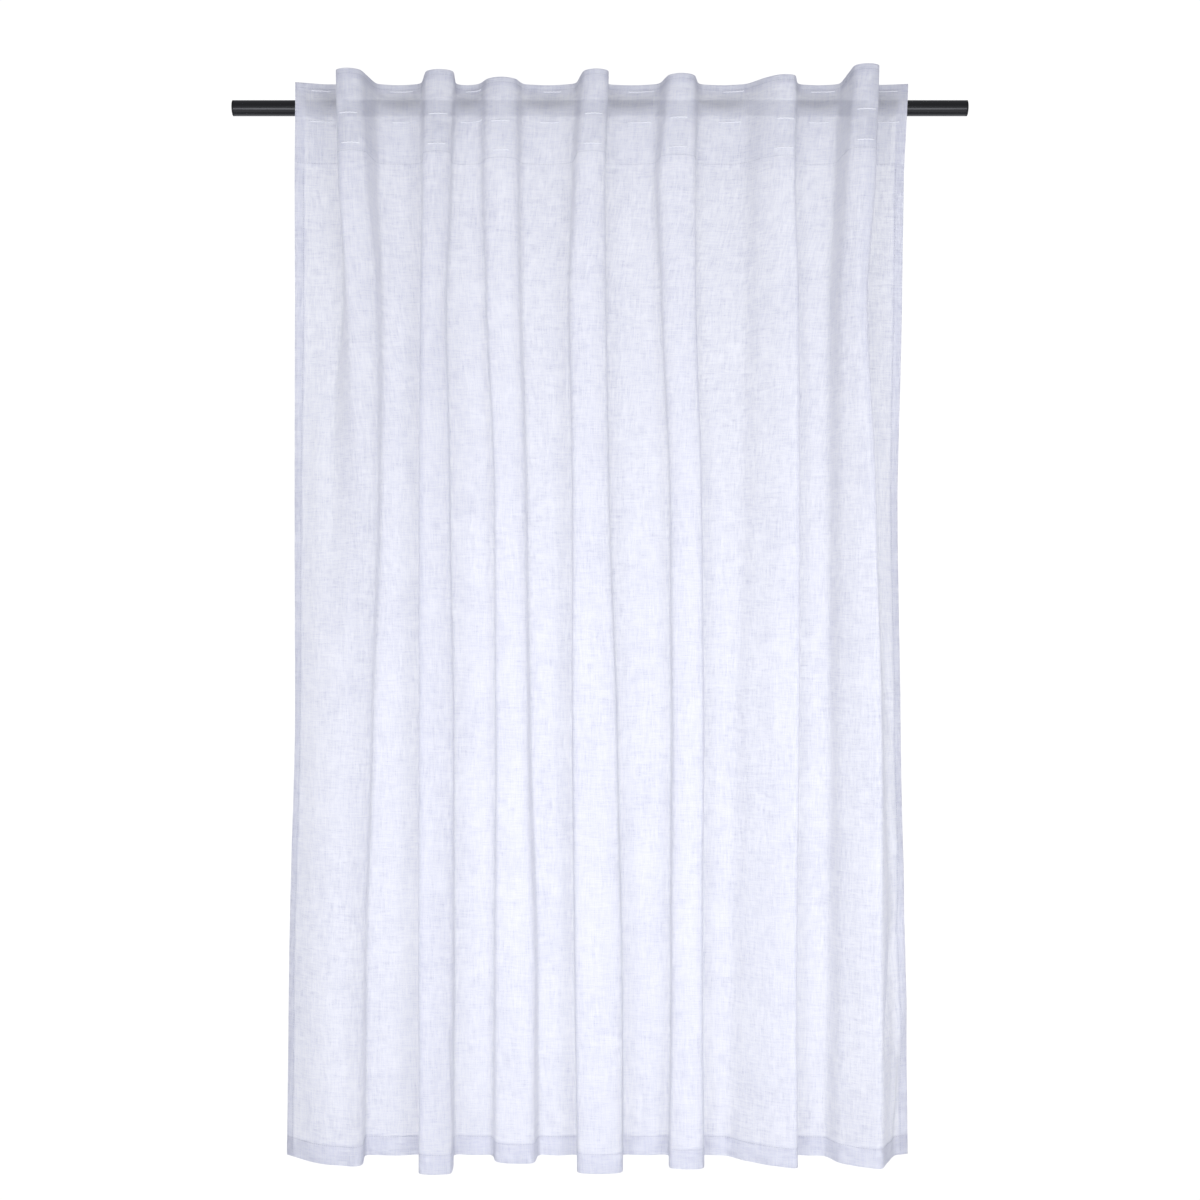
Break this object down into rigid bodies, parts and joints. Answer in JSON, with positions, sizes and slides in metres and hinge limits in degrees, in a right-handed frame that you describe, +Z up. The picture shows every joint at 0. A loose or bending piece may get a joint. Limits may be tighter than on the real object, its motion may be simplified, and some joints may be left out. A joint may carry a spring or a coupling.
{
  "type": "window curtain on rod",
  "caption": "Gathered white linen curtain panel with looped heading tape, hung from a plain round black steel rod.",
  "frame": {"origin": "on the rod's axis, halfway along the rod", "axes": "+X along the rod to the right as seen from the room, +Y away from the room towards the window, +Z up"},
  "size_m": [0.945, 0.1038, 1.37],
  "materials": {
    "linen": "semi-sheer plain-weave linen, white with a cool tint and slubs in both directions",
    "heading_tape": "white woven polyester heading tape and loops",
    "black_steel": "satin black powder coat",
    "black_plastic": "moulded matt black"
  },
  "bodies": {
    "rod": {"rod_tube": "black_steel", "rod_plug_left": "black_plastic", "rod_plug_right": "black_plastic"},
    "left_edge": {"space_1": "linen", "tape_space_1": "heading_tape", "rod_loop_1": "heading_tape", "side_hem_left": "linen"},
    "pleat_1_strip": {"pleat_1": "linen", "tape_pleat_1": "heading_tape", "spare_loop_1": "heading_tape"},
    "space_2_strip": {"space_2": "linen", "tape_space_2": "heading_tape", "rod_loop_2": "heading_tape"},
    "pleat_2_strip": {"pleat_2": "linen", "tape_pleat_2": "heading_tape", "spare_loop_2": "heading_tape"},
    "space_3_strip": {"space_3": "linen", "tape_space_3": "heading_tape", "rod_loop_3": "heading_tape"},
    "pleat_3_strip": {"pleat_3": "linen", "tape_pleat_3": "heading_tape", "spare_loop_3": "heading_tape"},
    "space_4_strip": {"space_4": "linen", "tape_space_4": "heading_tape", "rod_loop_4": "heading_tape"},
    "pleat_4_strip": {"pleat_4": "linen", "tape_pleat_4": "heading_tape", "spare_loop_4": "heading_tape"},
    "space_5_strip": {"space_5": "linen", "tape_space_5": "heading_tape", "rod_loop_5": "heading_tape"},
    "pleat_5_strip": {"pleat_5": "linen", "tape_pleat_5": "heading_tape", "spare_loop_5": "heading_tape"},
    "space_6_strip": {"space_6": "linen", "tape_space_6": "heading_tape", "rod_loop_6": "heading_tape"},
    "pleat_6_strip": {"pleat_6": "linen", "tape_pleat_6": "heading_tape", "spare_loop_6": "heading_tape"},
    "space_7_strip": {"space_7": "linen", "tape_space_7": "heading_tape", "rod_loop_7": "heading_tape"},
    "pleat_7_strip": {"pleat_7": "linen", "tape_pleat_7": "heading_tape", "spare_loop_7": "heading_tape"},
    "right_edge": {"space_8": "linen", "tape_space_8": "heading_tape", "rod_loop_8": "heading_tape", "side_hem_right": "linen"}
  },
  "joints": [
    {"name": "panel_slide", "type": "slide", "parent": "rod", "child": "left_edge", "axis": [1, 0, 0], "range_m": [-0.08, 0.07]},
    {"name": "gather", "type": "slide", "parent": "left_edge", "child": "right_edge", "axis": [-1, 0, 0], "range_m": [0, 0.3974]},
    {"name": "pleat_1_slide", "type": "slide", "parent": "left_edge", "child": "pleat_1_strip", "axis": [-1, 0, 0], "range_m": [0, 0.0258]},
    {"name": "space_2_slide", "type": "slide", "parent": "left_edge", "child": "space_2_strip", "axis": [-1, 0, 0], "range_m": [0, 0.0552]},
    {"name": "pleat_2_slide", "type": "slide", "parent": "left_edge", "child": "pleat_2_strip", "axis": [-1, 0, 0], "range_m": [0, 0.0847]},
    {"name": "space_3_slide", "type": "slide", "parent": "left_edge", "child": "space_3_strip", "axis": [-1, 0, 0], "range_m": [0, 0.1067]},
    {"name": "pleat_3_slide", "type": "slide", "parent": "left_edge", "child": "pleat_3_strip", "axis": [-1, 0, 0], "range_m": [0, 0.1287]},
    {"name": "space_4_slide", "type": "slide", "parent": "left_edge", "child": "space_4_strip", "axis": [-1, 0, 0], "range_m": [0, 0.1603]},
    {"name": "pleat_4_slide", "type": "slide", "parent": "left_edge", "child": "pleat_4_strip", "axis": [-1, 0, 0], "range_m": [0, 0.1919]},
    {"name": "space_5_slide", "type": "slide", "parent": "left_edge", "child": "space_5_strip", "axis": [-1, 0, 0], "range_m": [0, 0.2222]},
    {"name": "pleat_5_slide", "type": "slide", "parent": "left_edge", "child": "pleat_5_strip", "axis": [-1, 0, 0], "range_m": [0, 0.2524]},
    {"name": "space_6_slide", "type": "slide", "parent": "left_edge", "child": "space_6_strip", "axis": [-1, 0, 0], "range_m": [0, 0.2876]},
    {"name": "pleat_6_slide", "type": "slide", "parent": "left_edge", "child": "pleat_6_strip", "axis": [-1, 0, 0], "range_m": [0, 0.3228]},
    {"name": "space_7_slide", "type": "slide", "parent": "left_edge", "child": "space_7_strip", "axis": [-1, 0, 0], "range_m": [0, 0.3492]},
    {"name": "pleat_7_slide", "type": "slide", "parent": "left_edge", "child": "pleat_7_strip", "axis": [-1, 0, 0], "range_m": [0, 0.3756]}
  ],
  "couplings": [
    {"joint": "pleat_1_slide", "follows": "gather", "ratio": 0.06367},
    {"joint": "space_2_slide", "follows": "gather", "ratio": 0.13772},
    {"joint": "pleat_2_slide", "follows": "gather", "ratio": 0.21176},
    {"joint": "space_3_slide", "follows": "gather", "ratio": 0.26713},
    {"joint": "pleat_3_slide", "follows": "gather", "ratio": 0.32249},
    {"joint": "space_4_slide", "follows": "gather", "ratio": 0.40208},
    {"joint": "pleat_4_slide", "follows": "gather", "ratio": 0.48166},
    {"joint": "space_5_slide", "follows": "gather", "ratio": 0.55779},
    {"joint": "pleat_5_slide", "follows": "gather", "ratio": 0.63391},
    {"joint": "space_6_slide", "follows": "gather", "ratio": 0.72249},
    {"joint": "pleat_6_slide", "follows": "gather", "ratio": 0.81107},
    {"joint": "space_7_slide", "follows": "gather", "ratio": 0.87751},
    {"joint": "pleat_7_slide", "follows": "gather", "ratio": 0.94394}
  ]
}
